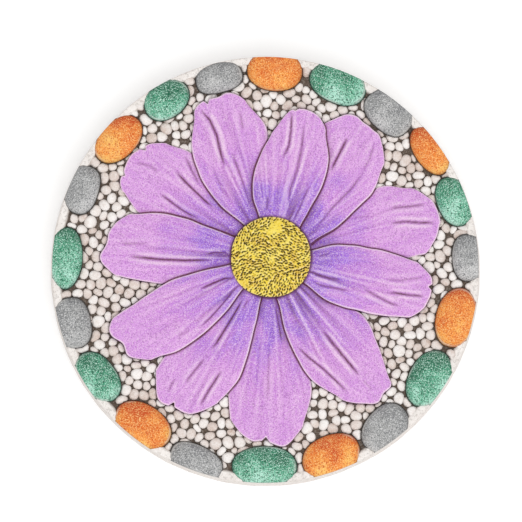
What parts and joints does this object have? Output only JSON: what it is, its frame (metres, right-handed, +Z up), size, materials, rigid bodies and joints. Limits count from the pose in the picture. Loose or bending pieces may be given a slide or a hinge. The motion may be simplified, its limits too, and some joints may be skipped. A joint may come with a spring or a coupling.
{
  "type": "garden stepping stone",
  "caption": "Round cast concrete paver with a layered daisy-like flower in low relief, a pebble-textured bed round it and a ring of oval painted stones at its rim.",
  "frame": {"origin": "centre of the round underside, on the ground", "axes": "+Z up out of the decorated face, +Y towards the top of the picture, +X to the right of someone who reads it"},
  "size_m": [0.254, 0.254, 0.0286],
  "materials": {
    "painted_concrete": "cast concrete with hand-painted matt acrylic colours and a dark wash in its hollows"
  },
  "bodies": {
    "root": {"stepping_stone": "painted_concrete"}
  },
  "joints": []
}
